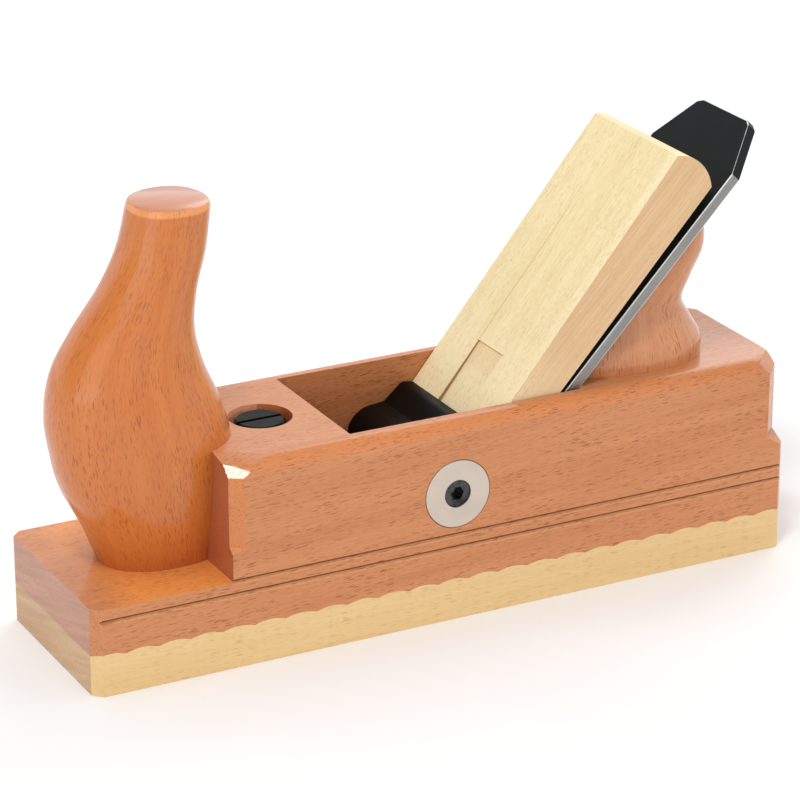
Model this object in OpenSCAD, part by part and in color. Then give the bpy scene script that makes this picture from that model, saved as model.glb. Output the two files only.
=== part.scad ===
// Wooden smoothing plane with a horn, a double iron and a mouth that can be set.
// X runs from toe (-) to heel (+), Y across, Z up; the origin is under the middle of the sole.

/* [Body] */
// Length of the plane from toe to heel
plane_l = 240; // [236:1:260]
// Width of the body and the sole
plane_w = 65; // [62:0.5:70]
// Height of the block above the sole's face
block_z = 65.5; // [62:0.5:70]
// Height of the toe platform that carries the horn
platform_z = 28.3; // [26:0.1:32]
// Distance from the toe to the front of the block
block_from_toe = 45.5; // [42:0.5:50]
// Radius of the block's long top edges
edge_r = 5.5; // [3:0.5:6]

/* [Sole] */
// Thickness of the sole, up to the middle of the wavy joint
sole_t = 13.3; // [12:0.1:15]
// Number of waves in the joint
wave_count = 23; // [12:1:28]
// Height of a wave from valley to crest
wave_h = 0.9; // [0.6:0.1:1.6]

/* [Throat and bed] */
// Angle of the bed from the sole's face
bed_angle = 46.5; // [45:0.5:48]
// Width of the throat between the cheeks
throat_w = 51; // [50.6:0.1:52]
// Distance from the toe to the point where the bed meets the sole's face
bed_from_toe = 107.2; // [104:0.1:110]
// Distance from the toe to the throat's front edge on top
throat_from_toe = 88; // [84:0.5:92]
// Gap between the mouth shoe and the cutting edge
mouth_gap = 1; // [0.9:0.1:2]

/* [Iron] */
// Width of the iron
iron_w = 48; // [44:1:48]
// Thickness of the iron
iron_t = 3.8; // [3:0.1:4]
// Thickness of the cap iron
cap_t = 2; // [1.8:0.1:2.4]

/* [Abutment] */
// Distance from the toe to the cross axle
axle_from_toe = 121.3; // [120:0.1:122]
// Height of the cross axle
axle_z = 42; // [41:0.5:43]
// Diameter of the side discs
disc_d = 22; // [20:0.5:24]

/* [Hidden] */
$fn = 64;

// Clearances: sliding faces, the radius of a running fit, and the diameter of a loose hole
slip = 0.05;
run_fit = 0.05;
loose = 0.4;

// Play in width: between the cheeks, in the mouth, and along the mouth screw's slot
cheek_play = 0.8;
mouth_play = 1.2;
slot_play = 0.6;

// How far cuts run past what they cut
over = 1;

toe_x = -plane_l / 2;
heel_x = plane_l / 2;
half_w = plane_w / 2;
block_x = toe_x + block_from_toe;

// Upright corners over the full height, in plan
toe_chamfer = 3;
heel_chamfer = 1.5;

// Upright corners of the block: along X, across, and the height where it runs out, at an angle
front_corner = [4.3, 2.5, 38.7];
heel_corner = [6.3, 7, 39];
run_out = 38;

// How far outward of the chamfer that cut goes: past the corner, and not down into the toe platform
corner_reach = 6;

// Facets over those corners, as places inward from the chamfer and below the block's top
front_facets = [[9.5, 0], [3.1, 1.4], [0, 4.5]];
heel_facets = [[7, 0], [3.4, 1.1], [0, 4.5]];

// Radius of the heel's top edge
heel_r = 3;

// Side grooves: side of the V, and the height of the lower one
groove_v = 1.2;
low_groove_z = 24.05;

// Wavy joint between body and sole
wave_pitch = plane_l / wave_count;
wave_steps = 6;
function wave_z(x) = sole_t - wave_h / 2 + wave_h * abs(sin(180 * (x - toe_x) / wave_pitch));
wave = [for (i = [0 : wave_count * wave_steps])
        let (x = toe_x + i * wave_pitch / wave_steps) [x, wave_z(x)]];

// Bed frame: s runs up the bed, t stands square on it, and s = 0 at the sole's face
bed_x = toe_x + bed_from_toe;
throat_x = toe_x + throat_from_toe;
edge_x = bed_x - iron_t / sin(bed_angle);
mouth_x = edge_x - mouth_gap;
throat_lean = (mouth_x - throat_x) / block_z;
mouth_w = iron_w + mouth_play;

// Groove in the bed for the screw's head, from its lower to its upper end
groove_w = 22;
groove_t = 6.5;
groove_s = [43, 105];

// Iron
head_s = 171;
tip_s = 188.8;
tip_w = 29.6;
tip_c = [1.2, 2.4];
bevel_angle = 25;
edge_s = -iron_t / tan(bed_angle);
slot_w = 9.6;
slot_s = [44, 96];
keyhole_d = 20;

// Cap iron and its screw
cap_front = iron_t + cap_t;
cap_top_s = 78;
screw_s = 56;
boss_d = 15;
boss_t = 3.5;
boss_neck_d = 10.5;
cap_screw_r = 4;
cap_head_d = 18;
cap_head_t = 4.2;

// Cap iron from its top edge over the arch to the lip and back, above the iron's face
cap_curve = [[22, cap_t - slip], [15, 3.5], [8, 4.1], [2.5, 3], [-2.4, 0.4], [-2.2, 0], [-1.4, 0],
             [3.5, 1.3], [8, 1.9], [14, 1.5], [20.5, 0]];

// Screw slots, as width and depth
cap_slot = [1.8, 1.6];
mouth_slot = [1.6, 1.3];
horn_slot = [1.2, 1.4];

// Wedge, as angles from the bed and places along it
wedge_w = throat_w - cheek_play;
wedge_back = cap_front + slip;
knee = [60.3, 17.85];
taper = 13.5;
front_lean = 4.1;
back_lean = 1.46;
relief_s = 84;
wedge_tip_s = 27;
wedge_top_s = 153.2;
crown_r = 13.6;
wedge_nose = [10, 1.4];
crown_t = 16.6;
boss_groove = [17, 70];
channel_w = 15.6;
channel_s = 83.2;
channel_step = 0.6;
channel_depth = 1.3;

// Abutment, as places from the cross axle
axle_x = toe_x + axle_from_toe;
axle_d = 7;
barrel_r = 9;
rock_angle = 20;
abut_w = throat_w - cheek_play;
knee_x = bed_x + knee[0] * cos(bed_angle) - knee[1] * sin(bed_angle);
knee_z = knee[0] * sin(bed_angle) + knee[1] * cos(bed_angle);
face_angle = bed_angle + taper;
lip = [knee_x - axle_x, knee_z - axle_z];
face_d = lip[0] * sin(face_angle) - lip[1] * cos(face_angle) - slip;
rock_clear = 0.1;
lip_top = [[-2, 0], [-1, 8.9], [4.2, 9.5], [7.2, 12], [9.8, 14.4], [11.5, 14.9]];
lip_reach = 2;
lip_root = [7, -1];

// Side discs and socket screws
disc_t = 2;
disc_proud = 0.2;
boss_r = 6;
socket_head_d = 8.5;
socket_head_t = 5;
socket_m = 5;
socket_hex = 4;
head_sunk = 0.6;
screw_l = 19;
thread_t = 13;
hex_t = 2.6;

// Mouth shoe and its screw
shoe_l = 43;
shoe_w = 48;
shoe_t = 11;
shoe_free = 2.5;
mouth_screw_x = toe_x + 70.2;
mouth_screw_d = 8;
recess_d = 20;
head_top_z = block_z - 0.8;
head_t = 3.6;
head_d = 16;
head_edge = 0.8;
washer_d = 16.6;
washer_t = 1.2;
recess_z = head_top_z - head_t - washer_t;
insert_d = 12;
insert_z = [2.2, 10.6];
shoe_travel = 2;

// Horn: dovetail and screw
tail_l = 7;
tail_w = [14, 20];
horn_screw_x = toe_x + 33;
horn_screw_d = 5;
horn_screw_z = [15.5, 52];
horn_head = [9.6, 3];

// Palm rest dowels
dowel_d = 8;
dowel_z = [50, 75];
dowel_x = [toe_x + 190, toe_x + 212];

// Solid swept across the plane from an outline in X and Z
module across(width) rotate([90, 0, 0]) translate([0, 0, -width / 2]) linear_extrude(width) children();

// Puts a solid drawn with X up the bed, Y across and Z square to the bed into place
module on_bed() translate([bed_x, 0, 0]) rotate([0, -bed_angle, 0]) children();

// Slot with round ends along X, from x0 to x1
module slot(x0, x1, w, h) {
    translate([x0, 0, 0]) cylinder(d = w, h = h);
    translate([x1, 0, 0]) cylinder(d = w, h = h);
    translate([x0, -w / 2, 0]) cube([x1 - x0, w, h]);
}

// Groove that clears the head of the cap iron screw
module bed_groove() on_bed() translate([0, 0, -groove_t])
    slot(groove_s[0] + groove_w / 2, groove_s[1] - groove_w / 2, groove_w, groove_t + over);

// What the throat takes out of body and sole, to a given width
module throat_cut(width) across(width) polygon([
    [mouth_x + throat_lean * over, -over],
    [bed_x - over / tan(bed_angle), -over],
    [bed_x + (block_z + over) / tan(bed_angle), block_z + over],
    [throat_x - throat_lean * over, block_z + over]]);

// Chamfer on the block's upright corners at x, which runs out at the bottom and has facets on top
module corner_chamfer(x, dir, corner, facets) for (side = [-1, 1])
    translate([x + dir * corner[0], side * half_w, 0]) rotate(atan2(side * corner[0], -dir * corner[1]))
        across(plane_w) polygon(concat(
            [[0, corner[2]], [corner_reach, corner[2] - corner_reach * tan(run_out)],
             [corner_reach, block_z + over], [-facets[0][0], block_z + over]],
            [for (f = facets) [-f[0], block_z - f[1]]]));

// V-groove along both sides at height z, from x0 to the heel
module side_groove(x0, z) for (side = [-1, 1]) translate([x0, side * half_w, z]) rotate([45, 0, 0])
    translate([0, -groove_v / 2, -groove_v / 2]) cube([plane_l + 2 * over, groove_v, groove_v]);

// Vertical corners of toe and heel
module outline_plan() polygon([
    [toe_x + toe_chamfer, -half_w], [heel_x - heel_chamfer, -half_w], [heel_x, heel_chamfer - half_w],
    [heel_x, half_w - heel_chamfer], [heel_x - heel_chamfer, half_w], [toe_x + toe_chamfer, half_w],
    [toe_x, half_w - toe_chamfer], [toe_x, toe_chamfer - half_w]]);

// Cross-section of the block with its two round top edges
module block_section() difference() {
    translate([-half_w, 0]) square([plane_w, block_z]);
    for (side = [-1, 1]) translate([side * (half_w - edge_r), block_z - edge_r]) difference() {
        translate([side > 0 ? 0 : -edge_r - over, 0]) square([edge_r + over, edge_r + over]);
        circle(edge_r);
    }
}

// Side view of the body over the wavy joint, with the heel's top edge rounded
module body_side() difference() {
    polygon(concat(wave, [[heel_x, block_z], [block_x, block_z], [block_x, platform_z],
                          [toe_x, platform_z]]));
    translate([heel_x - heel_r, block_z - heel_r]) difference() {
        square(heel_r + over);
        circle(heel_r);
    }
}

module body() color([0.83, 0.58, 0.42]) difference() {
    intersection() {
        across(plane_w) body_side();
        linear_extrude(block_z) outline_plan();
        rotate([90, 0, 90]) translate([0, 0, toe_x]) linear_extrude(plane_l) block_section();
    }
    throat_cut(throat_w);
    bed_groove();
    corner_chamfer(block_x, 1, front_corner, front_facets);
    corner_chamfer(heel_x, -1, heel_corner, heel_facets);
    side_groove(block_x, platform_z);
    side_groove(toe_x - over, low_groove_z);
    // Mouth screw: recess for the head, slot for the shank
    translate([mouth_screw_x, 0, recess_z]) cylinder(d = recess_d, h = block_z);
    translate([mouth_screw_x, 0, 0]) slot(-shoe_travel, shoe_travel, mouth_screw_d + slot_play, block_z);
    // Side discs
    for (side = [-1, 1]) translate([axle_x, side * half_w, axle_z]) rotate([side * 90, 0, 0]) {
        translate([0, 0, -over]) cylinder(d = disc_d + loose, h = over + disc_t - disc_proud);
        translate([0, 0, -over]) cylinder(r = boss_r, h = half_w - throat_w / 2 + 2 * over);
    }
    horn_tail(over);
    translate([horn_screw_x, 0, 0]) {
        cylinder(d = horn_screw_d, h = platform_z + over);
        cylinder(d = horn_head[0] + loose, h = horn_screw_z[0] + horn_head[1]);
    }
    for (x = dowel_x) translate([x, 0, dowel_z[0]]) cylinder(d = dowel_d, h = block_z);
}

module sole() color([0.90, 0.76, 0.54]) difference() {
    intersection() {
        across(plane_w) polygon(concat(wave, [[heel_x, 0], [toe_x, 0]]));
        linear_extrude(block_z) outline_plan();
    }
    intersection() {
        throat_cut(mouth_w);
        translate([mouth_x - over, -plane_w, -over]) cube([plane_w, 2 * plane_w, block_z]);
    }
    translate([mouth_x - shoe_l - shoe_free, -shoe_w / 2 - slip, -over])
        cube([shoe_l + shoe_free + over, shoe_w + 2 * slip, shoe_t + slip + over]);
    intersection() {
        throat_cut(throat_w);
        translate([toe_x, -plane_w, shoe_t]) cube([plane_l, 2 * plane_w, block_z]);
    }
    translate([mouth_screw_x, 0, 0]) slot(-shoe_travel, shoe_travel, mouth_screw_d + slot_play, block_z);
}

// Dovetail on the back of the horn, longer at both ends by extra
module horn_tail(extra) translate([0, 0, platform_z]) linear_extrude(block_z - platform_z + extra)
    polygon([[block_x - extra, -tail_w[0] / 2], [block_x, -tail_w[0] / 2],
             [block_x + tail_l, -tail_w[1] / 2], [block_x + tail_l, tail_w[1] / 2],
             [block_x, tail_w[0] / 2], [block_x - extra, tail_w[0] / 2]]);

// Smooth curve through rows of values: row[0] is the height, the others are followed
function blend4(a, b, c, d, u) =
    0.5 * (2 * b + (c - a) * u + (2 * a - 5 * b + 4 * c - d) * u * u
           + (3 * b - a - 3 * c + d) * u * u * u);
function smooth_rows(rows, steps) = let (n = len(rows)) concat(
    [for (i = [0 : n - 2]) for (j = [0 : steps - 1])
        blend4(rows[max(i - 1, 0)], rows[i], rows[i + 1], rows[min(i + 2, n - 1)], j / steps)],
    [rows[n - 1]]);

// Half of a superellipse's radius in one direction
function power_of(v, p) = sign(v) * pow(abs(v), 2 / p);

// Shape of the two handles: points in a ring, rings between two rows, and how square a ring is
ring_n = 40;
row_steps = 3;
horn_power = 2.2;
rest_power = 2.3;

// How far the palm rest stands back from the bed
rest_gap = 0.3;

// Ring of points at the height row[0]: front row[1], widest place row[2], back row[3], half width row[4]
function ring(row, p) = [for (k = [0 : ring_n - 1])
    let (c = power_of(cos(360 * k / ring_n), p), s = power_of(sin(360 * k / ring_n), p))
    [toe_x + row[2] + c * (c > 0 ? row[3] - row[2] : row[2] - row[1]), s * row[4], row[0]]];

// Closed solid through rings that lie above each other
module loft(rows, p) {
    n = len(rows);
    points = [for (r = rows) each ring(r, p)];
    sides = [for (i = [0 : n - 2]) for (k = [0 : ring_n - 1])
        let (a = i * ring_n + k, b = i * ring_n + (k + 1) % ring_n)
        each [[a, a + ring_n, b + ring_n], [a, b + ring_n, b]]];
    bottom = [for (k = [0 : ring_n - 1]) k];
    top = [for (k = [ring_n - 1 : -1 : 0]) (n - 1) * ring_n + k];
    polyhedron(points, concat([bottom, top], sides), convexity = 6);
}

// Horn by height: front, widest place, back, half width, all from the toe
horn_rows = [[platform_z, 16, 36, 56, 15.3], [40, 11.5, 35, 57.5, 17.8], [53, 5.2, 34, 58.5, 20.3],
             [64, 2.5, 32.5, 58.6, 20.9], [76, 1.2, 30, 55.6, 20.2], [89, 3.4, 27.6, 50.2, 18],
             [101, 10.4, 29.2, 47.6, 15.6], [113, 19.4, 34, 48.8, 13.7], [125, 25.6, 38.8, 52, 12.7],
             [138, 29.2, 41.3, 53.8, 12.4]];
horn_top = [[139.4, 29.8, 41.3, 53.2, 11.8], [140, 31, 41.3, 52, 10.6]];

module horn() color([0.82, 0.53, 0.34]) difference() {
    union() {
        difference() {
            loft(concat(smooth_rows(horn_rows, row_steps), horn_top), horn_power);
            translate([block_x, -plane_w, 0]) cube([plane_w, 2 * plane_w, block_z]);
        }
        horn_tail(0);
    }
    translate([horn_screw_x, 0, 0]) cylinder(d = horn_screw_d, h = horn_screw_z[1]);
}

module horn_screw() color([0.7, 0.7, 0.72]) translate([horn_screw_x, 0, 0]) difference() {
    union() {
        translate([0, 0, horn_screw_z[0]]) cylinder(d = horn_screw_d, h = horn_screw_z[1] - horn_screw_z[0]);
        translate([0, 0, horn_screw_z[0]]) cylinder(d = horn_head[0], h = horn_head[1]);
    }
    translate([-horn_head[0], -horn_slot[0] / 2, horn_screw_z[0] - over])
        cube([2 * horn_head[0], horn_slot[0], over + horn_slot[1]]);
}

// Palm rest by height: front, widest place, back, half width, all from the toe
rest_rows = [[block_z, 160, 200, 222.3, 23], [71, 160, 200, 222.4, 22.9], [77, 164, 200.5, 219, 20.2],
             [84, 170, 201.5, 215.6, 17.8], [92, 180, 205, 219, 17.5], [100, 190, 209, 223, 17.4],
             [107, 196, 211, 223.2, 16.2], [112, 204, 213.5, 221, 13.2], [114, 210, 215, 218.8, 9]];

module palm_rest() color([0.80, 0.52, 0.35]) difference() {
    loft(smooth_rows(rest_rows, row_steps), rest_power);
    on_bed() translate([-plane_l, -plane_w, -rest_gap]) cube([2 * plane_l, 2 * plane_w, plane_l]);
    bed_groove();
    for (x = dowel_x) translate([x, 0, 0]) cylinder(d = dowel_d, h = dowel_z[1]);
}

module palm_rest_dowels() color([0.85, 0.66, 0.45]) for (x = dowel_x) translate([x, 0, dowel_z[0]])
    cylinder(d = dowel_d, h = dowel_z[1] - dowel_z[0]);

// Side view of the wedge, s to the right and t up
module wedge_side() intersection() {
    polygon([
        [wedge_tip_s, wedge_back], [relief_s, wedge_back],
        [tip_s, wedge_back + (tip_s - relief_s) * tan(back_lean)],
        [tip_s, knee[1] + (tip_s - knee[0]) * tan(front_lean)], knee,
        [wedge_tip_s + wedge_nose[0], knee[1] - (knee[0] - wedge_tip_s - wedge_nose[0]) * tan(taper)],
        [wedge_tip_s, wedge_back + wedge_nose[1]]]);
    union() {
        square([wedge_top_s, 2 * knee[1]]);
        translate([wedge_top_s, crown_t]) circle(crown_r);
    }
}

module wedge() color([0.93, 0.82, 0.61]) on_bed() difference() {
    across(wedge_w) wedge_side();
    // Channel that lets the shavings rise
    across(channel_w) polygon([
        [channel_s, knee[1] + (channel_s - knee[0]) * tan(front_lean) - channel_step],
        [knee[0], knee[1] - channel_depth], [0, knee[1] - channel_depth - knee[0] * tan(taper)],
        [0, 3 * knee[1]], [channel_s, 3 * knee[1]]]);
    // Groove that clears the boss of the cap iron
    slot(0, boss_groove[1] - boss_groove[0] / 2, boss_groove[0], cap_front + boss_t + over);
}

// Outline of the iron seen square to the bed
module iron_plan() polygon([
    [edge_s, -iron_w / 2], [head_s, -iron_w / 2], [tip_s - tip_c[0], -tip_w / 2],
    [tip_s, tip_c[1] - tip_w / 2], [tip_s, tip_w / 2 - tip_c[1]], [tip_s - tip_c[0], tip_w / 2],
    [head_s, iron_w / 2], [edge_s, iron_w / 2]]);

module plane_iron() color([0.13, 0.14, 0.15]) on_bed() difference() {
    intersection() {
        translate([0, 0, slip]) linear_extrude(iron_t - slip) iron_plan();
        across(iron_w + 2 * over) polygon([
            [edge_s, iron_t], [edge_s + iron_t / tan(bevel_angle), 0], [2 * tip_s, 0], [2 * tip_s, iron_t]]);
    }
    translate([0, 0, -over]) slot(slot_s[0], slot_s[1], slot_w, iron_t + 2 * over);
    translate([slot_s[1], 0, -over]) cylinder(d = keyhole_d, h = iron_t + 2 * over);
}

// Side view of the cap iron: flat on top, arched over the cutting edge, touching it with its lip
module cap_side() translate([0, iron_t + slip])
    polygon(concat([[cap_top_s, 0], [cap_top_s, cap_t - slip]], cap_curve));

module cap_iron() color([0.16, 0.16, 0.17]) on_bed() difference() {
    across(iron_w) cap_side();
    translate([screw_s, 0, 0]) cylinder(d = boss_neck_d, h = cap_front + over);
}

module cap_iron_boss() color([0.72, 0.6, 0.32]) on_bed() translate([screw_s, 0, 0]) difference() {
    union() {
        translate([0, 0, cap_front]) cylinder(d = boss_d, h = boss_t);
        translate([0, 0, iron_t + slip]) cylinder(d = boss_neck_d, h = cap_t);
    }
    cylinder(r = cap_screw_r, h = cap_front + boss_t + over);
}

module cap_iron_screw() color([0.55, 0.55, 0.57]) on_bed() translate([screw_s, 0, 0]) difference() {
    union() {
        translate([0, 0, -cap_head_t]) cylinder(d = cap_head_d, h = cap_head_t - slip);
        translate([0, 0, -slip - over]) cylinder(r = cap_screw_r - run_fit, h = cap_front + boss_t + over);
    }
    translate([-cap_head_d, -cap_slot[0] / 2, -cap_head_t - over])
        cube([2 * cap_head_d, cap_slot[0], over + cap_slot[1]]);
}

// Abutment, from places round its axle: a barrel with a lip that bears on the wedge
module abutment() color([0.05, 0.05, 0.055]) translate([axle_x, 0, axle_z]) difference() {
    union() {
        across(abut_w) circle(barrel_r);
        across(abut_w) polygon(concat(lip_top, [lip + [lip_reach, 0], lip_root]));
    }
    // The flat, and below it the relief that lets it rock clear of the wedge
    across(plane_w) rotate(face_angle) translate([-plane_w, -face_d - plane_w])
        square([2 * plane_w, plane_w]);
    across(plane_w) rotate(face_angle - rock_angle) translate([-plane_w, rock_clear - face_d - plane_w])
        square([2 * plane_w, plane_w]);
    rotate([90, 0, 0]) cylinder(d = axle_d + 2 * run_fit, h = plane_w, center = true);
}

module cross_axle() color([0.6, 0.6, 0.62]) translate([axle_x, 0, axle_z]) rotate([90, 0, 0]) difference() {
    cylinder(d = axle_d, h = throat_w, center = true);
    for (turn = [0, 180]) rotate([turn, 0, 0]) translate([0, 0, throat_w / 2 - thread_t])
        cylinder(d = socket_m, h = thread_t + over);
}

// Disc, drawn along +Z from its outer face inward
module side_disc(side) color([0.82, 0.76, 0.69]) translate([axle_x, side * (half_w + disc_proud), axle_z])
    rotate([side * 90, 0, 0]) difference() {
        union() {
            cylinder(d = disc_d, h = disc_t);
            cylinder(r = boss_r, h = half_w + disc_proud - throat_w / 2);
        }
        translate([0, 0, -over]) cylinder(d = socket_head_d + loose, h = over + head_sunk + socket_head_t);
        cylinder(d = socket_m + loose, h = plane_w);
    }

module side_disc_left() side_disc(-1);
module side_disc_right() side_disc(1);

// Socket screw, drawn along +Z from its outer face inward
module socket_screw(side) color([0.2, 0.2, 0.21])
    translate([axle_x, side * (half_w + disc_proud - head_sunk), axle_z]) rotate([side * 90, 0, 0])
        difference() {
            union() {
                cylinder(d = socket_head_d, h = socket_head_t);
                cylinder(d = socket_m, h = screw_l);
            }
            translate([0, 0, -over]) cylinder(d = socket_hex / cos(30), h = over + hex_t, $fn = 6);
        }

module socket_screw_left() socket_screw(-1);
module socket_screw_right() socket_screw(1);

module mouth_shoe() color([0.88, 0.74, 0.52]) difference() {
    across(shoe_w) polygon([
        [mouth_x - shoe_l, 0], [mouth_x, 0], [mouth_x - throat_lean * shoe_t, shoe_t],
        [mouth_x - shoe_l, shoe_t]]);
    translate([mouth_screw_x, 0, insert_z[0]]) cylinder(d = insert_d, h = shoe_t);
}

module shoe_insert() color([0.76, 0.62, 0.32]) translate([mouth_screw_x, 0, insert_z[0]]) difference() {
    cylinder(d = insert_d, h = insert_z[1] - insert_z[0]);
    cylinder(d = mouth_screw_d, h = shoe_t);
}

module mouth_screw() color([0.28, 0.31, 0.29]) translate([mouth_screw_x, 0, 0]) difference() {
    union() {
        translate([0, 0, head_top_z - head_t]) cylinder(d = head_d, h = head_t - head_edge);
        translate([0, 0, head_top_z - head_edge])
            cylinder(d1 = head_d, d2 = head_d - 2 * head_edge, h = head_edge);
        translate([0, 0, insert_z[0] + over]) cylinder(r = mouth_screw_d / 2 - run_fit,
                                                h = head_top_z - head_t - insert_z[0]);
    }
    translate([-head_d, -mouth_slot[0] / 2, head_top_z - mouth_slot[1]])
        cube([2 * head_d, mouth_slot[0], over + mouth_slot[1]]);
}

module mouth_washer() color([0.66, 0.66, 0.66]) translate([mouth_screw_x, 0, recess_z + slip]) difference() {
    cylinder(d = washer_d, h = washer_t - 2 * slip);
    cylinder(d = mouth_screw_d + loose, h = washer_t);
}

body();
sole();
horn();
horn_screw();
palm_rest();
palm_rest_dowels();
wedge();
plane_iron();
cap_iron();
cap_iron_boss();
cap_iron_screw();
abutment();
cross_axle();
side_disc_left();
side_disc_right();
socket_screw_left();
socket_screw_right();
mouth_shoe();
shoe_insert();
mouth_screw();
mouth_washer();
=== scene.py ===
import math

import bmesh
import bpy
from mathutils import Matrix, Vector


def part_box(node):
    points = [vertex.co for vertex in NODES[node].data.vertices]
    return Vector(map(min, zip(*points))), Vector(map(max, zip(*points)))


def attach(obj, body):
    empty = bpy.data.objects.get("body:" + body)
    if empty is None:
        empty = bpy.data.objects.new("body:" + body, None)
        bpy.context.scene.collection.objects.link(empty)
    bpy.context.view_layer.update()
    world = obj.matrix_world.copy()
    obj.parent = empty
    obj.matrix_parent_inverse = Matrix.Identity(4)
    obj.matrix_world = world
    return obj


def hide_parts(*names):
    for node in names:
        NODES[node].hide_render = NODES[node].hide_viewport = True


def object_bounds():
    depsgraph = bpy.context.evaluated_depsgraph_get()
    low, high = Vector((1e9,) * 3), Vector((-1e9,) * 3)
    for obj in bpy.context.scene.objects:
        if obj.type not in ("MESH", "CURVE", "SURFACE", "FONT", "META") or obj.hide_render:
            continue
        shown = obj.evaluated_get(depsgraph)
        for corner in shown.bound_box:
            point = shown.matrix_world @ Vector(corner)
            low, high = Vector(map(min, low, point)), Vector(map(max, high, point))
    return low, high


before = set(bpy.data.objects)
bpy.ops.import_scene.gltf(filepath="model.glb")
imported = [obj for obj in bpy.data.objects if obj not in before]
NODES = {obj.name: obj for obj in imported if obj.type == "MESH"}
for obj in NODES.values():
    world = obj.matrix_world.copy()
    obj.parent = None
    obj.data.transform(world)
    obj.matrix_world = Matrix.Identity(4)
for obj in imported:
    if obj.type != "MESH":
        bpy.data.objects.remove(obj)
CAD_LOW, CAD_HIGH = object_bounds()
MM = 0.001

# Bed of the plane: its angle, and how far from the toe it meets the sole's face; and where the block starts
BED_ANGLE = math.radians(46.5)
BED_FROM_TOE = 107.2 * MM
BLOCK_FROM_TOE = 45.5 * MM
TOE_X = CAD_LOW.x

X_AXIS, Y_AXIS, Z_AXIS = (1, 0, 0), (0, 1, 0), (0, 0, 1)
BED_NORMAL = (-math.sin(BED_ANGLE), 0, math.cos(BED_ANGLE))
BED_UP = (math.cos(BED_ANGLE), 0, math.sin(BED_ANGLE))
BED_TURN = (0, math.degrees(BED_ANGLE), 0)

# Camera: what it looks at and how far away it stands, in metres, its direction in degrees, and its lens
LOOK_AT = Vector((-0.0017, 0.0, 0.0619))
CAMERA_DISTANCE = 1.1014
CAMERA_AZIMUTH = -27.55
CAMERA_ELEVATION = 21.74
LENS_MM = 159.6
SENSOR_MM = 36.0
CLIP_START, CLIP_END = 0.05, 50

# Strength of the surroundings near the horizon and overhead. It changes where a direction's height, 0 for
# level and 1 for straight up, crosses the edge, and the tilt makes directions towards the toe count as higher
WORLD_LOW = 1.13
WORLD_HIGH = 0.3
WORLD_EDGE = (0.38, 0.68)
WORLD_TILT = -0.45

# Lamps: place and size in metres, and watts. All of them point at one spot
LAMPS = {
    "overhead": ((-0.3, 0.2, 1.6), (1.2, 1.2), 8.5),
    "key": ((-0.51, -0.505, 1.55), (0.24, 0.24), 6.8),
    "front_left": ((-1.6, -0.9, 0.6), (1.4, 1.2), 6.8),
    "behind_right": ((1.1, 0.9, 1.1), (1.0, 1.0), 6.4),
}
LAMP_AIM = (0, 0, 0.06)

# The floor: how far it reaches from the middle each way, in metres, and its colour
FLOOR_REACH = 6
FLOOR_WHITE = (0.92, 0.92, 0.92, 1.0)


# ---------------------------------------------------------------- helpers for node materials

# Least and greatest strength of a spot, and the range over which spots come in as their share grows
SPOT_STRENGTH = (0.45, 1.0)
SPOT_ONSET = 0.05


def rgb(red, green, blue):
    """Linear colour from 0 to 255 display values."""
    def linear(value):
        v = value / 255
        return v / 12.92 if v <= 0.04045 else ((v + 0.055) / 1.055) ** 2.4
    return (linear(red), linear(green), linear(blue), 1.0)


def darkened(colour, factor):
    """Colour times a factor below 1."""
    return tuple(value * factor for value in colour[:3]) + (1.0,)


def map_range(node, source, target):
    """Sets a Map Range node's two ranges and gives it soft ends."""
    node.interpolation_type = "SMOOTHSTEP"
    for name, number in zip(("From Min", "From Max", "To Min", "To Max"), (*source, *target)):
        node.inputs[name].default_value = number


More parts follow.
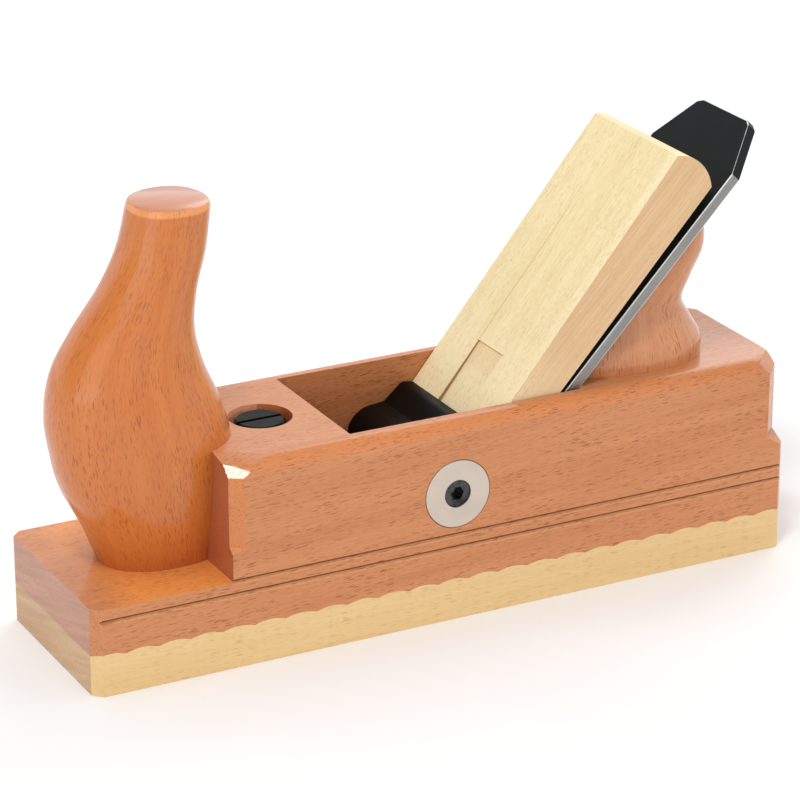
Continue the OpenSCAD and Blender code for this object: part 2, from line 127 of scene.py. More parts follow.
class Shader:
    """A material's node tree, with one method for each kind of node that the finishes here use."""

    def __init__(self, name):
        self.material = bpy.data.materials.new(name)
        self.material.use_nodes = True
        self.tree = self.material.node_tree
        self.tree.nodes.clear()
        self.surface = self.tree.nodes.new("ShaderNodeBsdfPrincipled")
        output = self.tree.nodes.new("ShaderNodeOutputMaterial")
        self.link(self.surface.outputs["BSDF"], output.inputs["Surface"])
        self.coords = self.tree.nodes.new("ShaderNodeTexCoord")
        self.place = self.coords.outputs["Object"]

    def place_from(self, attribute):
        """Patterns follow a stored place of every point in place of the object's coordinates."""
        node = self.tree.nodes.new("ShaderNodeAttribute")
        node.attribute_name = attribute
        self.place = node.outputs["Vector"]

    def link(self, source, target):
        self.tree.links.new(source, target)

    def put(self, value, socket):
        """Links a socket, or sets a plain value."""
        if isinstance(value, bpy.types.NodeSocket):
            self.link(value, socket)
        else:
            socket.default_value = value

    def space(self, size, turn=(0, 0, 0)):
        """The point's place turned by degrees, then divided by a size in millimetres along each axis."""
        turned = self.tree.nodes.new("ShaderNodeMapping")
        turned.inputs["Rotation"].default_value = [math.radians(a) for a in turn]
        self.link(self.place, turned.inputs["Vector"])
        scaled = self.tree.nodes.new("ShaderNodeMapping")
        scaled.inputs["Scale"].default_value = [1 / (s * MM) for s in size]
        self.link(turned.outputs["Vector"], scaled.inputs["Vector"])
        return scaled.outputs["Vector"]

    def noise(self, vector, detail=3.0, roughness=0.5, distortion=0.0):
        node = self.tree.nodes.new("ShaderNodeTexNoise")
        node.inputs["Scale"].default_value = 1.0
        node.inputs["Detail"].default_value = detail
        node.inputs["Roughness"].default_value = roughness
        node.inputs["Distortion"].default_value = distortion
        self.link(vector, node.inputs["Vector"])
        return node.outputs["Fac"]

    def spots(self, vector, radius, edge, share):
        """Mask of separate spots, one in a share of the cells, that fade out over edge beyond radius."""
        cell = self.tree.nodes.new("ShaderNodeTexVoronoi")
        cell.inputs["Scale"].default_value = 1.0
        self.link(vector, cell.inputs["Vector"])
        near = self.ramp(cell.outputs["Distance"], radius, radius + edge, 1.0, 0.0)
        pick = self.tree.nodes.new("ShaderNodeSeparateColor")
        self.link(cell.outputs["Color"], pick.inputs["Color"])
        kept = self.ramp(pick.outputs["Red"], 1 - share, 1 - share + SPOT_ONSET)
        strength = self.ramp(pick.outputs["Green"], 0.0, 1.0, *SPOT_STRENGTH)
        return self.product(near, kept, strength)

    def ramp(self, value, low, high, to_low=0.0, to_high=1.0):
        """Goes softly from to_low to to_high as the value goes from low to high; low may be the greater."""
        node = self.tree.nodes.new("ShaderNodeMapRange")
        map_range(node, (low, high), (to_low, to_high))
        self.put(value, node.inputs["Value"])
        return node.outputs["Result"]

    def maths(self, operation, a, b=0.0):
        node = self.tree.nodes.new("ShaderNodeMath")
        node.operation = operation
        self.put(a, node.inputs[0])
        self.put(b, node.inputs[1])
        return node.outputs["Value"]

    def product(self, first, *others):
        """Masks and numbers multiplied together."""
        for other in others:
            first = self.maths("MULTIPLY", first, other)
        return first

    def mean(self, a, b, share=0.5):
        """Weighted mean of two values, where share is how much of a counts."""
        return self.maths("ADD", self.product(a, share), self.product(b, 1 - share))

    def mix(self, factor, a, b):
        node = self.tree.nodes.new("ShaderNodeMix")
        node.data_type = "RGBA"
        self.put(factor, node.inputs["Factor"])
        self.put(a, node.inputs["A"])
        self.put(b, node.inputs["B"])
        return node.outputs["Result"]

    def tint(self, colour, target, *masks, strength=1.0):
        """Moves a colour towards a target where every mask is 1, by a strength of at most 1."""
        return self.mix(self.product(*masks, strength), colour, target)

    def dot(self, socket, direction):
        node = self.tree.nodes.new("ShaderNodeVectorMath")
        node.operation = "DOT_PRODUCT"
        self.link(socket, node.inputs[0])
        node.inputs[1].default_value = direction
        return node.outputs["Value"]

    def towards(self, direction):
        """How squarely the surface faces in a direction of the object, from -1 to 1."""
        return self.dot(self.coords.outputs["Normal"], direction)

    def facing(self, direction):
        """The same either way, from 0 to 1."""
        return self.maths("ABSOLUTE", self.towards(direction))

    def along(self, direction):
        """Place of a point along a direction of the object, in millimetres."""
        return self.product(self.dot(self.coords.outputs["Object"], direction), 1 / MM)

    def beyond(self, direction, start, full):
        """Mask that starts at one place along a direction and is 1 from another on, in millimetres."""
        return self.ramp(self.along(direction), start, full)

    def within(self, direction, start, full, middle=0.0):
        """The same by the distance from a middle place along the direction."""
        offset = self.maths("SUBTRACT", self.along(direction), middle)
        return self.ramp(self.maths("ABSOLUTE", offset), start, full)

    def waves(self, vector, distortion):
        """Even bands across X of the given space."""
        node = self.tree.nodes.new("ShaderNodeTexWave")
        node.inputs["Scale"].default_value = 1.0
        node.inputs["Distortion"].default_value = distortion
        self.link(vector, node.inputs["Vector"])
        return node.outputs["Fac"]

    def bump(self, height, strength, distance_mm):
        node = self.tree.nodes.new("ShaderNodeBump")
        node.inputs["Strength"].default_value = strength
        node.inputs["Distance"].default_value = distance_mm * MM
        self.put(height, node.inputs["Height"])
        self.link(node.outputs["Normal"], self.surface.inputs["Normal"])

    def set(self, **values):
        """Sets the shader's own sockets; an underscore in a name stands for a space."""
        for name, value in values.items():
            socket = name.replace("_", " ").title().replace("Ior", "IOR")
            self.put(value, self.surface.inputs[socket])


# ---------------------------------------------------------------- finishes

# How squarely a face looks along an axis: a mask starts at the first and is 1 from the second on
SIDEWAYS = (0.6, 0.9)
NOT_SIDEWAYS = (0.6, 0.3)
END_FACE = (0.82, 0.97)
SLANTING = (0.985, 0.9)
FACES_UP = (0.9, 0.98)
FACES_ALONG = (0.85, 0.98)
UPRIGHT_WALL = (0.5, 0.2)
FACES_DOWN = (-0.3, -0.6)
LEANS_UP = (0.2, 0.5)
OFF_THE_CAP = (0.9, 0.6)

# Name of the stored place of every point on a carved piece, which its grain follows
GRAIN_PLACE = "grain_place"

# Patterns of the woods in millimetres: the size along the grain, then the two sizes across it
BANDS_MM = (150, 6, 6)
FIBRES_MM = (14, 0.4, 0.4)
CLOUDS_MM = (18, 7, 7)
SIDE_LINES_MM = (40, 0.35, 0.35)

# End grain in millimetres along X, Y and Z, and the angles that the rings and the cutter marks lie at
PORES_MM = (0.45, 0.45, 0.45)
RINGS_MM = (60, 30, 2.2)
RINGS_TURN = (14, 0, 0)
MARKS_MM = (60, 5.5, 5.5)
MARKS_TURN = (32, 0, 0)
END_FADE_MM = 1

# How far through their noise the patterns change from one colour to the other
FLECK_CLOUDS = (0.34, 0.6)
FLECK_FAINTEST = 0.45
TONE_MIDDLE = 0.5
TONE_SPREAD = 0.25
SIDE_LINES = (0.3, 0.7)
SIDE_LINES_SHARE = 0.6
PORES_IN_RINGS = (0.14, 0.42)
FIBRE_POLISH = (0.3, 0.7)
SMOOTHER, ROUGHER = 0.05, 0.08

# Ray flecks: how much of its cell a fleck fills, and the specks' size, number and depth beside the dashes'
FLECK_RADIUS = 0.18
DASH_FADE = 0.2
SPECK_FADE = 0.18
SPECK_LENGTH = 0.55
SPECK_WIDTH = 0.7
SPECK_SHARE = 0.8
SPECK_DEPTH = 0.75

# Depth of the wood's relief, and what the lacquer and the bare wood do to light
WOOD_BUMP = 0.15
WOOD_BUMP_MM = 0.1
FLECK_RELIEF = 0.8
IOR_UNDER_COAT = 1.3
IOR_BARE = 1.45
COAT_IOR = 1.5


def ray_flecks(s, turn, size_mm, share):
    """Mask of short dashes along the grain with smaller specks between them, fainter in some patches."""
    long, thin = size_mm
    dashes = s.spots(s.space((long, thin, thin), turn), FLECK_RADIUS, DASH_FADE, share)
    small = (long * SPECK_LENGTH, thin * SPECK_WIDTH, thin * SPECK_WIDTH)
    specks = s.spots(s.space(small, turn), FLECK_RADIUS, SPECK_FADE, SPECK_SHARE * share)
    flecks = s.maths("MAXIMUM", dashes, s.product(specks, SPECK_DEPTH))
    clouds = s.noise(s.space(CLOUDS_MM, turn), detail=2.0)
    return s.product(flecks, s.ramp(clouds, *FLECK_CLOUDS, FLECK_FAINTEST, 1.0))


def cut_ends(s, light, dark):
    """Colour of the end grain: fine pores in slanting rings."""
    pores = s.noise(s.space(PORES_MM), detail=3.0)
    rings = s.noise(s.space(RINGS_MM, RINGS_TURN), detail=1.5, distortion=0.4)
    return s.mix(s.ramp(s.product(pores, rings), *PORES_IN_RINGS), dark, light)


def wood(name, light, dark, fleck, fleck_mm, grain=X_AXIS, tilt=0.0, fleck_share=0.9, fleck_depth=0.75,
         end_grain=None, ends=None, ripples=0.0, side=None, extra=None, place=None, coat=0.0,
         coat_roughness=0.14, roughness=0.5, streaks=0.5):
    """Wood with its grain along X or Z: broad bands, fine fibres and short dark ray flecks.

    tilt leans the grain by degrees, place names a stored place for the patterns to follow, and more streaks
    make the bands harder. end_grain is the light and dark colour of the faces across the grain. If ends is
    given, only those at least that far from the middle, in mm, have it. ripples is how strongly they show
    cutter marks. side is the light and dark colour of the faces towards Y, and extra is a function that
    changes the colour of some places.
    """
    s = Shader(name)
    if place:
        s.place_from(place)
    turn = (0, tilt, 0) if grain == X_AXIS else (0, 90 + tilt, 0)
    bands = s.noise(s.space(BANDS_MM, turn), detail=2.0, distortion=0.6)
    fibres = s.noise(s.space(FIBRES_MM, turn), detail=4.0, roughness=0.62)
    flecks = ray_flecks(s, turn, fleck_mm, fleck_share)
    tone = s.mean(bands, fibres)
    spread = TONE_SPREAD / (0.5 + streaks)
    colour = s.mix(s.ramp(tone, TONE_MIDDLE - spread, TONE_MIDDLE + spread), light, dark)
    if side:
        lines = s.noise(s.space(SIDE_LINES_MM, turn), detail=3.0)
        side_colour = s.mix(s.ramp(s.mean(lines, tone, SIDE_LINES_SHARE), *SIDE_LINES), *side)
        colour = s.mix(s.ramp(s.facing(Y_AXIS), *SIDEWAYS), colour, side_colour)
    if extra:
        colour = extra(s, colour)
    colour = s.tint(colour, fleck, flecks, strength=fleck_depth)
    relief = s.maths("SUBTRACT", fibres, s.product(flecks, FLECK_RELIEF))
    if end_grain:
        across = s.ramp(s.facing(grain), *END_FACE)
        if ends:
            across = s.product(across, s.within(grain, ends - END_FADE_MM, ends + END_FADE_MM))
        colour = s.mix(across, colour, cut_ends(s, *end_grain))
        if ripples:
            marks = s.waves(s.space(MARKS_MM, MARKS_TURN), distortion=1.6)
            relief = s.maths("ADD", relief, s.product(marks, across, ripples))
    s.set(base_color=colour)
    s.set(roughness=s.ramp(fibres, *FIBRE_POLISH, roughness - SMOOTHER, roughness + ROUGHER))
    s.bump(relief, WOOD_BUMP, WOOD_BUMP_MM)
    s.set(ior=IOR_UNDER_COAT if coat else IOR_BARE)
    s.set(coat_weight=coat, coat_roughness=coat_roughness, coat_ior=COAT_IOR)
    return s.material


# Places on the body in millimetres: a mask starts at the first and is 1 from the second on
BLOCK_EDGES_Z = (34, 38)
BLOCK_EDGES_X = (112, 106)
PLATFORM_Z = (32, 30)
PLATFORM_X = (-118, -100)
BLOCK_FRONT_X = (-112, -110)
FRONT_HALF_X = (-20, -30)
RECESS_REAR_X = (-46, -47)
RECESS_FRONT_X = (-72, -71)
RECESS_Y = (12, 11)
LOWER_EDGES_Z = (35, 31)
LOWER_EDGES_X = (-115, -112)


def body_painted_light(s, colour):
    """Painted reflection, light and shade: warmer, lighter or darker than on the body's broad faces."""
    along_x, along_y, along_z = (s.facing(axis) for axis in (X_AXIS, Y_AXIS, Z_AXIS))
    slanting = s.ramp(s.maths("MAXIMUM", along_x, s.maths("MAXIMUM", along_z, along_y)), *SLANTING)
    upward = s.towards(Z_AXIS)
    # Painted reflection: warmer on the block's slanting and rounded edges
    colour = s.tint(colour, rgb(214, 124, 58), slanting, s.beyond(Z_AXIS, *BLOCK_EDGES_Z),
                    s.beyond(X_AXIS, *BLOCK_EDGES_X), strength=0.4)
    # Painted reflection and light: brighter on the platform, more so towards the horn
    colour = s.tint(colour, rgb(244, 156, 76), s.ramp(upward, *FACES_UP),
                    s.beyond(Z_AXIS, *PLATFORM_Z), s.beyond(X_AXIS, *PLATFORM_X), strength=0.8)
    # Painted shade: darker on faces along X in the front half, such as the block's face behind the horn
    colour = s.tint(colour, rgb(170, 90, 56), s.ramp(along_x, *FACES_ALONG),
                    s.beyond(X_AXIS, *BLOCK_FRONT_X), s.beyond(X_AXIS, *FRONT_HALF_X), strength=0.85)
    # Painted light: lighter on the wall of the mouth screw's recess
    colour = s.tint(colour, rgb(248, 176, 136), s.ramp(along_z, *UPRIGHT_WALL),
                    s.beyond(X_AXIS, *RECESS_REAR_X), s.beyond(X_AXIS, *RECESS_FRONT_X),
                    s.within(Y_AXIS, *RECESS_Y))
    # Painted shade: dark on faces that look down, such as the upper flanks of the grooves
    colour = s.tint(colour, rgb(112, 60, 34), s.ramp(upward, *FACES_DOWN))
    # Painted light: lighter on low faces that lean up, such as the lower flanks of the grooves
    return s.tint(colour, rgb(232, 168, 116), slanting, s.beyond(Z_AXIS, *LOWER_EDGES_Z),
                  s.beyond(X_AXIS, *LOWER_EDGES_X), s.ramp(upward, *LEANS_UP), strength=0.6)


# Heights on the horn in millimetres, with a mask's start and end as before
CAP_EDGE_Z = (137.2, 138.0)
HORN_FOOT_Z = (44, 29)


def horn_painted_light(s, colour):
    """Painted highlight round the cap's edge, and painted shade where the horn meets the platform."""
    # Painted highlight on the cap's rounded edge
    colour = s.tint(colour, rgb(240, 160, 100), s.beyond(Z_AXIS, *CAP_EDGE_Z),
                    s.ramp(s.towards(Z_AXIS), *OFF_THE_CAP), strength=0.7)
    # Painted shade at the horn's foot, where the block hides light
    return s.tint(colour, rgb(168, 84, 44), s.beyond(Z_AXIS, *HORN_FOOT_Z), strength=0.3)


# Fine lines in the wedge in millimetres, and where they show in their noise
WEDGE_LINES_MM = (50, 0.45, 0.45)
WEDGE_LINES = (0.46, 0.72)

# Places on the wedge in millimetres, up along the bed or across it, with a mask's start and end as before
LOWER_HALF = (90, 60)
NEAR_STRIP_Y = (-20.0, -22.0)
PATCH_LOW = (60, 72)
PATCH_HIGH = (74.5, 73.8)
PATCH_Y = (8.0, 7.6)
LINE_Y = 7.8
LINE_HALF_WIDTH = (0.5, 0.1)
LINE_HIGH = (128, 118)
LINE_LOW = (73, 75)
CHANNEL_Y = (9.0, 8.5)

# How squarely a rounded edge faces Y: more than the front, less than the side
OFF_THE_FRONT = (0.1, 0.3)
OFF_THE_SIDE = (0.98, 0.92)


def wedge_grain_and_painted_light(s, colour):
    """Grain lines, lighter and darker places on the wedge's front, a painted highlight on its arrises, and
    painted shade on the channel's walls.
    """
    sideways = s.facing(Y_AXIS)
    # Fine darker grain lines, and paler wood lower down
    lines = s.noise(s.space(WEDGE_LINES_MM, BED_TURN), detail=3.0)
    colour = s.tint(colour, rgb(216, 186, 136), s.ramp(lines, *WEDGE_LINES), strength=0.4)
    colour = s.tint(colour, rgb(255, 240, 196), s.beyond(BED_UP, *LOWER_HALF), strength=0.5)
    # Paler strip beside the near long edge, and a painted highlight on the arrises
    colour = s.tint(colour, rgb(248, 236, 196), s.beyond(Y_AXIS, *NEAR_STRIP_Y),
                    s.ramp(sideways, *NOT_SIDEWAYS), strength=0.4)
    # Painted highlight on the arrises
    colour = s.tint(colour, rgb(252, 242, 212), s.ramp(sideways, *OFF_THE_FRONT),
                    s.ramp(sideways, *OFF_THE_SIDE), strength=0.6)
    # Darker patch where the channel runs out, a faint line above it, and painted shade on the channel's walls
    colour = s.tint(colour, rgb(218, 180, 126), s.beyond(BED_UP, *PATCH_LOW), s.beyond(BED_UP, *PATCH_HIGH),
                    s.within(Y_AXIS, *PATCH_Y), strength=0.35)
    colour = s.tint(colour, rgb(204, 172, 116), s.within(Y_AXIS, *LINE_HALF_WIDTH, middle=LINE_Y),
                    s.beyond(BED_UP, *LINE_HIGH), s.beyond(BED_UP, *LINE_LOW), strength=0.55)
    # Painted shade on the channel's walls
    return s.tint(colour, rgb(146, 112, 64), s.ramp(sideways, *SIDEWAYS), s.within(Y_AXIS, *CHANNEL_Y),
                  strength=0.85)


def beech_body():
    return wood("lacquered_beech", rgb(210, 142, 94), rgb(194, 122, 74), rgb(136, 70, 34), (4.6, 0.5),
                tilt=3.0, fleck_depth=0.8, end_grain=(rgb(198, 144, 116), rgb(178, 122, 96)), ends=100,
                ripples=2.5, extra=body_painted_light, coat=0.5, coat_roughness=0.1)


def beech_horn():
    return wood("lacquered_beech_upright", rgb(212, 126, 56), rgb(194, 104, 42), rgb(134, 66, 20),
                (4.4, 0.52), grain=Z_AXIS, fleck_depth=0.8,
                end_grain=(rgb(208, 144, 110), rgb(192, 126, 94)), extra=horn_painted_light, place=GRAIN_PLACE,
                coat=0.85, coat_roughness=0.16, streaks=0.2)


def beech_rest():
    return wood("lacquered_beech_rest", rgb(214, 148, 100), rgb(198, 126, 80), rgb(136, 70, 34),
                (4.6, 0.55), grain=Z_AXIS, place=GRAIN_PLACE, coat=0.9, coat_roughness=0.12, streaks=0.3)


def pale_sole():
    return wood("pale_hornbeam", rgb(234, 202, 148), rgb(222, 186, 130), rgb(196, 154, 98), (4.5, 0.5),
                fleck_share=0.6, end_grain=(rgb(214, 180, 144), rgb(194, 156, 120)), coat=0.15,
                roughness=0.55)


def pale_wedge():
    return wood("bare_pale_wood", rgb(244, 228, 182), rgb(234, 212, 162), rgb(204, 170, 116), (3.4, 0.38),
                tilt=math.degrees(BED_ANGLE), fleck_share=0.8,
                side=(rgb(230, 196, 154), rgb(214, 172, 128)), extra=wedge_grain_and_painted_light, roughness=0.65,
                streaks=0.6)


# Patterns of the metals in millimetres, where they change in their noise, and how far they go
DULL_PATCHES_MM = (9, 9, 9)
GRINDING_MM = (30, 0.3, 0.3)
METAL_TONES = (0.25, 0.75)
GRINDING_TONES = (0.3, 0.7)
GRINDING_DARKER = 0.72
SMOOTHEST, ROUGHEST = 0.85, 1.2
METAL_BUMP_MM = 0.05

# The iron's bare edges: how squarely they face Y. Its arrises face off the bed more than the edges do, and
# less than the flat faces do
BARE_EDGE = (0.9, 0.97)
ARRIS_START = (0.2, 0.35)
ARRIS_END = (0.98, 0.92)
# Colour of the arrises: worn bare metal, lightened near white by a painted highlight
WORN_ARRIS_AND_HIGHLIGHT = rgb(232, 234, 234)


def metal(name, colour, roughness, grain_mm=0.4, mottling=0.08, metallic=1.0, ior=1.5, relief=0.06,
          turn=(0, 0, 0), ground_edge=None):
    """Metal with a fine uneven polish.

    ground_edge is the bare metal's colour on the faces towards Y. With it, the arrises of the flat faces
    that lie along the bed are worn bare metal, lightened near white by a painted highlight.
    """
    s = Shader(name)
    polish = s.noise(s.space((grain_mm, grain_mm, grain_mm), turn), detail=4.0, roughness=0.6)
    dull = s.noise(s.space(DULL_PATCHES_MM), detail=2.0)
    shade = s.ramp(s.mean(polish, dull), *METAL_TONES)
    shown = s.mix(shade, darkened(colour, 1 - 2 * mottling), colour)
    if ground_edge:
        lines = s.noise(s.space(GRINDING_MM, turn), detail=3.0)
        bare = s.mix(s.ramp(lines, *GRINDING_TONES), darkened(ground_edge, GRINDING_DARKER), ground_edge)
        edge = s.ramp(s.facing(Y_AXIS), *BARE_EDGE)
        flat = s.facing(BED_NORMAL)
        arris = s.product(s.ramp(flat, *ARRIS_START), s.ramp(flat, *ARRIS_END))
        # Worn bare metal and a painted highlight on the arrises
        shown = s.mix(arris, s.mix(edge, shown, bare), WORN_ARRIS_AND_HIGHLIGHT)
        metallic = s.maths("ADD", s.product(edge, 1 - metallic), metallic)
    s.set(base_color=shown, metallic=metallic)
    s.set(roughness=s.ramp(polish, *METAL_TONES, roughness * SMOOTHEST, min(1.0, roughness * ROUGHEST)))
    s.bump(polish, relief, METAL_BUMP_MM)
    s.set(ior=ior)
    return s.material


# ---------------------------------------------------------------- pieces

# Angles between faces that count as an edge, on a CAD node and on a carved piece
NODE_EDGE = math.radians(28)
CARVED_EDGE = math.radians(38)
SAME_POINT = 1e-6
ARRIS_SEGMENTS = 2
FLAT_FACE_WEIGHT = 80


def finish_node(node, material, arris_mm):
    """Gives a CAD node its material, and softens its edges with modifiers; its mesh keeps its shape."""
    piece = NODES[node]
    piece.data.materials.clear()
    piece.data.materials.append(material)
    weld = piece.modifiers.new("join", "WELD")
    weld.merge_threshold = SAME_POINT
    bevel = piece.modifiers.new("arris", "BEVEL")
    bevel.width = arris_mm * MM
    bevel.segments = ARRIS_SEGMENTS
    bevel.limit_method = "ANGLE"
    bevel.angle_limit = NODE_EDGE
    normals = piece.modifiers.new("shading", "WEIGHTED_NORMAL")
    normals.weight = FLAT_FACE_WEIGHT
    for face in piece.data.polygons:
        face.use_smooth = True


def catmull_rom(rows, steps):
    """Rows of numbers with steps - 1 more rows eased in between each two."""
    def ease(a, b, c, d, u):
        return 0.5 * (2 * b + (c - a) * u + (2 * a - 5 * b + 4 * c - d) * u * u
                      + (3 * b - a - 3 * c + d) * u ** 3)
    out = []
    last = len(rows) - 1
    for i in range(last):
        around = (rows[max(i - 1, 0)], rows[i], rows[i + 1], rows[min(i + 2, last)])
        out += [[ease(*values, j / steps) for values in zip(*around)] for j in range(steps)]
    return out + [list(rows[last])]


# Points round a carved piece
SIDES = 112


def ring_points(row, power):
    """Superellipse at one height, from a row: height, front, widest place, back and half width, in mm."""
    z, front, widest, back, half = row
    points = []
    for k in range(SIDES):
        angle = 2 * math.pi * k / SIDES
        c = math.copysign(abs(math.cos(angle)) ** (2 / power), math.cos(angle))
        s = math.copysign(abs(math.sin(angle)) ** (2 / power), math.sin(angle))
        reach = back - widest if c > 0 else widest - front
        points.append(Vector((TOE_X + (widest + c * reach) * MM, s * half * MM, z * MM)))
    return points


def loft(name, rows, power):
    """Closed mesh through rings that lie above each other."""
    bm = bmesh.new()
    rings = [[bm.verts.new(p) for p in ring_points(row, power)] for row in rows]
    for low, high in zip(rings, rings[1:]):
        for k in range(SIDES):
            n = (k + 1) % SIDES
            bm.faces.new((low[k], low[n], high[n], high[k]))
    bm.faces.new(list(reversed(rings[0])))
    bm.faces.new(rings[-1])
    return to_object(name, bm)


def is_sharp(edge):
    return len(edge.link_faces) == 2 and edge.calc_face_angle(0) > CARVED_EDGE


def shade_smooth(bm):
    """Smooth faces, except across sharp edges."""
    for face in bm.faces:
        face.smooth = True
    for edge in bm.edges:
        edge.smooth = not is_sharp(edge)


def to_object(name, bm):
    """Makes an object from a bmesh, which is used up."""
    bmesh.ops.recalc_face_normals(bm, faces=bm.faces)
    shade_smooth(bm)
    mesh = bpy.data.meshes.new(name)
    bm.to_mesh(mesh)
    bm.free()
    piece = bpy.data.objects.new(name, mesh)
    bpy.context.scene.collection.objects.link(piece)
    return piece


def cutter_box(low, high, turn=Matrix.Identity(4)):
    bm = bmesh.new()
    bmesh.ops.create_cube(bm, size=1)
    middle, size = (low + high) / 2, high - low
    placed = turn @ Matrix.Translation(middle) @ Matrix.Diagonal((*size, 1))
    bmesh.ops.transform(bm, verts=bm.verts, matrix=placed)
    return to_object("cutter", bm)


def cut_away(piece, cutter, arris_mm):
    """Removes the cutter's volume from the piece for good, then softens the new edges."""
    boolean = piece.modifiers.new("cut", "BOOLEAN")
    boolean.operation = "DIFFERENCE"
    boolean.solver = "EXACT"
    boolean.object = cutter
    bpy.context.view_layer.update()
    evaluated = piece.evaluated_get(bpy.context.evaluated_depsgraph_get())
    mesh = bpy.data.meshes.new_from_object(evaluated)
    piece.modifiers.clear()
    piece.data = mesh
    bpy.data.objects.remove(cutter)
    bm = bmesh.new()
    bm.from_mesh(mesh)
    bmesh.ops.remove_doubles(bm, verts=bm.verts, dist=SAME_POINT)
    sharp = [edge for edge in bm.edges if is_sharp(edge)]
    bmesh.ops.bevel(bm, geom=sharp, offset=arris_mm * MM, segments=ARRIS_SEGMENTS, affect="EDGES",
                    clamp_overlap=True)
    shade_smooth(bm)
    bm.to_mesh(mesh)
    bm.free()


GRAIN_RADIUS = 18 * MM


def follow_grain(piece, rows):
    """Stores for every point a place on an upright cylinder, so that the grain runs along the surface."""
    heights = [row[0] for row in rows]
    centres = [(row[1] + row[3]) / 2 for row in rows]
    values = []
    for vertex in piece.data.vertices:
        z = vertex.co.z / MM
        i = max(0, min(len(rows) - 2, sum(1 for height in heights if height <= z) - 1))
        share = max(0.0, min(1.0, (z - heights[i]) / (heights[i + 1] - heights[i])))
        middle = TOE_X + (centres[i] + (centres[i + 1] - centres[i]) * share) * MM
        outward = Vector((vertex.co.x - middle, vertex.co.y))
        outward = outward.normalized() * GRAIN_RADIUS if outward.length > 0 else Vector((0.0, 0.0))
        values += [outward.x, outward.y, vertex.co.z]
    stored = piece.data.attributes.new(GRAIN_PLACE, "FLOAT_VECTOR", "POINT")
    stored.data.foreach_set("vector", values)


# Rows up a carved piece in millimetres, with the places along X counted from the toe
HORN_ROWS = [(28.3, 16, 36, 56, 15.3), (40, 11.5, 35, 57.5, 17.8), (53, 5.2, 34, 58.5, 20.3),
             (64, 2.5, 32.5, 58.6, 20.9), (76, 1.2, 30, 55.6, 20.2), (89, 3.4, 27.6, 50.2, 18),
             (101, 10.4, 29.2, 47.6, 15.6), (113, 19.4, 34, 48.8, 13.7), (125, 25.6, 38.8, 52, 12.7),
             (138, 29.2, 41.3, 53.8, 12.4)]
HORN_TOP = [(139.4, 29.8, 41.3, 53.2, 11.8), (140, 31, 41.3, 52, 10.6)]
HORN_STEPS = 12
HORN_POWER = 2.2
HORN_ARRIS_MM = 0.25

# How far the cutters reach past the wood, in metres
REACH = 0.1


def make_horn(material):
    """Carved horn, cut flat where it stands against the block."""
    block_x = TOE_X + BLOCK_FROM_TOE
    block_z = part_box("body")[1].z
    horn = loft("horn_carved", catmull_rom(HORN_ROWS, HORN_STEPS) + HORN_TOP, HORN_POWER)
    low = Vector((block_x, -REACH, 0.0))
    high = Vector((block_x + REACH, REACH, block_z))
    cut_away(horn, cutter_box(low, high), HORN_ARRIS_MM)
    follow_grain(horn, HORN_ROWS)
    horn.data.materials.append(material)
    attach(horn, "stock")
    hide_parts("horn")


REST_ROWS = [(65.5, 160, 200, 222.3, 23), (71, 160, 200, 222.4, 22.9), (77, 164, 200.5, 219, 20.2),
             (84, 170, 201.5, 215.6, 17.8), (92, 180, 205, 219, 17.5), (100, 190, 209, 223, 17.4),
             (107, 196, 211, 223.2, 16.2), (112, 204, 213.5, 221, 13.2), (114, 210, 215, 218.8, 9)]
REST_STEPS = 10
REST_POWER = 2.3
REST_ARRIS_MM = 0.3

# In metres: the rest is cut this far below the bed, and its cutter reaches this far down, up and off it
BED_CLEARANCE = 0.0003
DOWN_THE_BED, UP_THE_BED, OFF_THE_BED = 0.3, 0.5, 0.3


def make_palm_rest(material):
    """Carved palm rest, cut flat just below the bed that the iron lies on."""
    rest = loft("palm_rest_carved", catmull_rom(REST_ROWS, REST_STEPS), REST_POWER)
    bed = Vector((TOE_X + BED_FROM_TOE, 0, 0))
    turn = Matrix.Translation(bed) @ Matrix.Rotation(-BED_ANGLE, 4, "Y")
    low = Vector((-DOWN_THE_BED, -REACH, -BED_CLEARANCE))
    high = Vector((UP_THE_BED, REACH, OFF_THE_BED))
    cut_away(rest, cutter_box(low, high, turn), REST_ARRIS_MM)
    follow_grain(rest, REST_ROWS)
    rest.data.materials.append(material)
    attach(rest, "stock")
    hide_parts("palm_rest")


# ---------------------------------------------------------------- stage

def make_camera():
    camera = bpy.data.objects.new("camera", bpy.data.cameras.new("camera"))
    bpy.context.scene.collection.objects.link(camera)
    azimuth, elevation = math.radians(CAMERA_AZIMUTH), math.radians(CAMERA_ELEVATION)
    back = Vector((math.sin(azimuth) * math.cos(elevation), -math.cos(azimuth) * math.cos(elevation),
                   math.sin(elevation)))
    camera.location = LOOK_AT + back * CAMERA_DISTANCE
    camera.rotation_mode = "QUATERNION"
    camera.rotation_quaternion = (-back).to_track_quat("-Z", "Y")
    camera.data.lens = LENS_MM
    camera.data.sensor_width = SENSOR_MM
    camera.data.clip_start = CLIP_START
    camera.data.clip_end = CLIP_END
    bpy.context.scene.camera = camera


def make_floor():
    bm = bmesh.new()
    bmesh.ops.create_grid(bm, x_segments=1, y_segments=1, size=FLOOR_REACH)
    floor = to_object("floor", bm)
    s = Shader("floor_white")
    s.set(base_color=FLOOR_WHITE, roughness=0.9, ior=1.3)
    floor.data.materials.append(s.material)


def make_lamp(name, place, size, watts):
    light = bpy.data.lights.new(name, "AREA")
    light.shape = "RECTANGLE"
    light.size, light.size_y = size
    light.energy = watts
    lamp = bpy.data.objects.new(name, light)
    bpy.context.scene.collection.objects.link(lamp)
    lamp.location = place
    lamp.rotation_mode = "QUATERNION"
    lamp.rotation_quaternion = (Vector(LAMP_AIM) - Vector(place)).to_track_quat("-Z", "Y")
    lamp.visible_camera = False


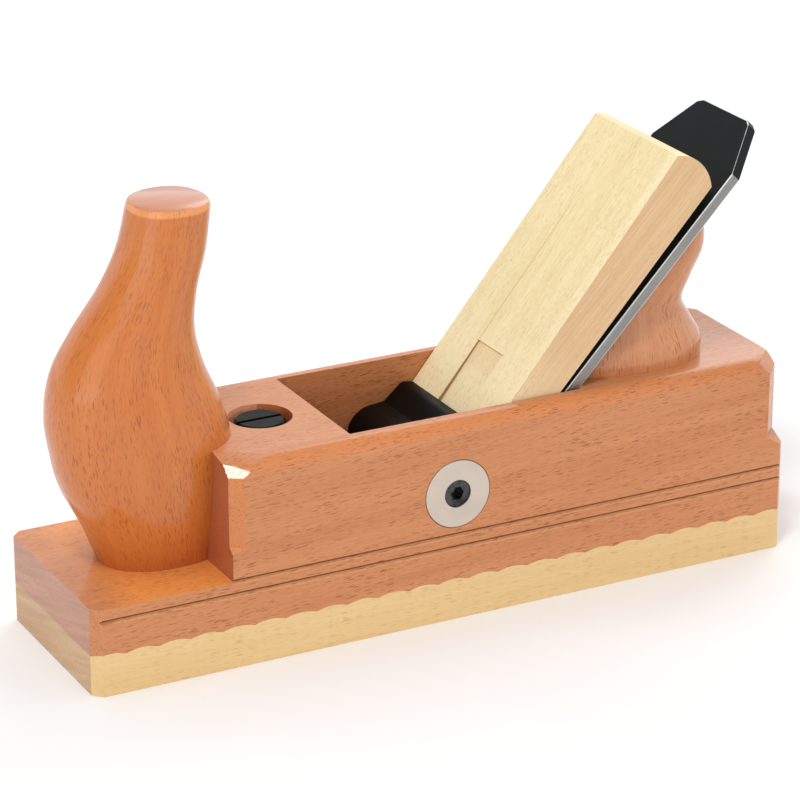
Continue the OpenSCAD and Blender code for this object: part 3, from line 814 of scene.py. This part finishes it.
def make_world():
    """White surroundings that are bright low down, and darken upwards and towards the toe."""
    world = bpy.data.worlds.new("studio")
    world.use_nodes = True
    tree = world.node_tree
    sky = tree.nodes["Background"]
    sky.inputs["Color"].default_value = (1, 1, 1, 1)
    place = tree.nodes.new("ShaderNodeTexCoord")
    split = tree.nodes.new("ShaderNodeSeparateXYZ")
    tree.links.new(place.outputs["Generated"], split.inputs["Vector"])
    leaning = tree.nodes.new("ShaderNodeMath")
    leaning.operation = "MULTIPLY_ADD"
    leaning.inputs[1].default_value = WORLD_TILT
    tree.links.new(split.outputs["X"], leaning.inputs[0])
    tree.links.new(split.outputs["Z"], leaning.inputs[2])
    strength = tree.nodes.new("ShaderNodeMapRange")
    map_range(strength, WORLD_EDGE, (WORLD_LOW, WORLD_HIGH))
    tree.links.new(leaning.outputs["Value"], strength.inputs["Value"])
    tree.links.new(strength.outputs["Result"], sky.inputs["Strength"])
    bpy.context.scene.world = world


def make_lights():
    """Surroundings, large soft lamps and a small key lamp."""
    make_world()
    for name, (place, size, watts) in LAMPS.items():
        make_lamp(name, place, size, watts)
    bpy.context.scene.view_settings.view_transform = "Standard"


# ---------------------------------------------------------------- the scene

make_camera()
make_floor()
make_lights()

body_wood = beech_body()
horn_wood = beech_horn()
rest_wood = beech_rest()
sole_wood = pale_sole()
wedge_wood = pale_wedge()
black_steel = metal("black_lacquered_steel", rgb(24, 29, 31), 0.5, mottling=0.2, metallic=0.0, ior=1.25,
                    turn=BED_TURN, ground_edge=rgb(164, 162, 160))
black_enamel = metal("black_enamel", rgb(4, 4, 5), 0.4, metallic=0.0, ior=1.22)
satin_nickel = metal("satin_nickel", rgb(218, 206, 194), 0.5, grain_mm=0.3, mottling=0.07, relief=0.2)
dark_screw = metal("oil_black_steel", rgb(20, 28, 23), 0.25, grain_mm=2.5, mottling=0.25, metallic=0.0,
                   ior=1.12, relief=1.0)
black_chrome = metal("black_chrome", rgb(96, 96, 96), 0.12, grain_mm=0.9, mottling=0.4, relief=1.0)
zinc = metal("bright_zinc", rgb(190, 190, 192), 0.35)
brass = metal("turned_brass", rgb(214, 180, 110), 0.3)

# Each CAD node that is seen as it is, with its finish and the width of its softened edges in millimetres
finish_node("body", body_wood, 0.35)
finish_node("sole", sole_wood, 0.35)
finish_node("wedge", wedge_wood, 0.4)
finish_node("plane_iron", black_steel, 0.45)
finish_node("cap_iron", black_steel, 0.2)
finish_node("abutment", black_enamel, 0.3)
for name in ("side_disc_left", "side_disc_right"):
    finish_node(name, satin_nickel, 0.3)
for name in ("socket_screw_left", "socket_screw_right"):
    finish_node(name, black_chrome, 0.25)
finish_node("mouth_screw", dark_screw, 0.12)
for name in ("horn_screw", "cap_iron_screw", "cross_axle", "mouth_washer"):
    finish_node(name, zinc, 0.1)
for name in ("cap_iron_boss", "shoe_insert"):
    finish_node(name, brass, 0.1)
finish_node("mouth_shoe", sole_wood, 0.3)
finish_node("palm_rest_dowels", body_wood, 0.2)
make_horn(horn_wood)
make_palm_rest(rest_wood)
